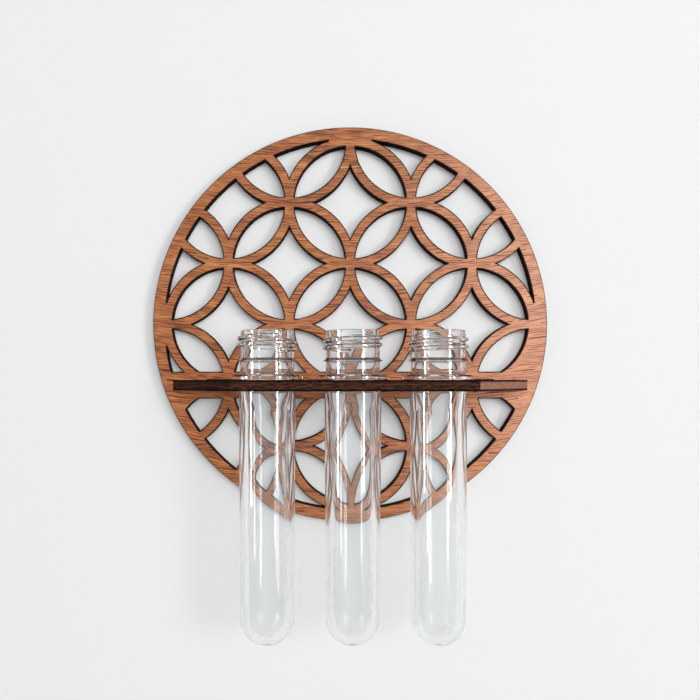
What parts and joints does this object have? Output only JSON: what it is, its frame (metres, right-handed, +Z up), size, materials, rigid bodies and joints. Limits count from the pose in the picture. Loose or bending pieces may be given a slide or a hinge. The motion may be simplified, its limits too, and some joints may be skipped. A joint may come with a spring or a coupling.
{
  "type": "propagation vase",
  "caption": "Wall-hung propagation vase: a round wooden panel pierced with interlocking circles carries a shelf that holds clear round-bottomed tubes by their neck rings.",
  "frame": {"origin": "the hanging notch, at the upper cusp of the top star hole on the disc's back face", "axes": "+Z up, +X to the right seen from the front, +Y out of the back into the wall"},
  "size_m": [0.193, 0.045, 0.2458],
  "materials": {
    "disc_wood": "oiled reddish veneer, charred cut edges",
    "shelf_wood": "oiled reddish veneer, charred cut edges",
    "clear_plastic": "clear gloss"
  },
  "bodies": {
    "panel": {"lattice_disc": "disc_wood", "tube_shelf": "shelf_wood"},
    "left_tube_body": {"left_tube": "clear_plastic"},
    "centre_tube_body": {"centre_tube": "clear_plastic"},
    "right_tube_body": {"right_tube": "clear_plastic"}
  },
  "joints": [
    {"name": "left_tube_lift", "type": "slide", "parent": "panel", "child": "left_tube_body", "axis": [0, 0, 1], "range_m": [0, 0.13]},
    {"name": "centre_tube_lift", "type": "slide", "parent": "panel", "child": "centre_tube_body", "axis": [0, 0, 1], "range_m": [0, 0.13]},
    {"name": "right_tube_lift", "type": "slide", "parent": "panel", "child": "right_tube_body", "axis": [0, 0, 1], "range_m": [0, 0.13]}
  ]
}
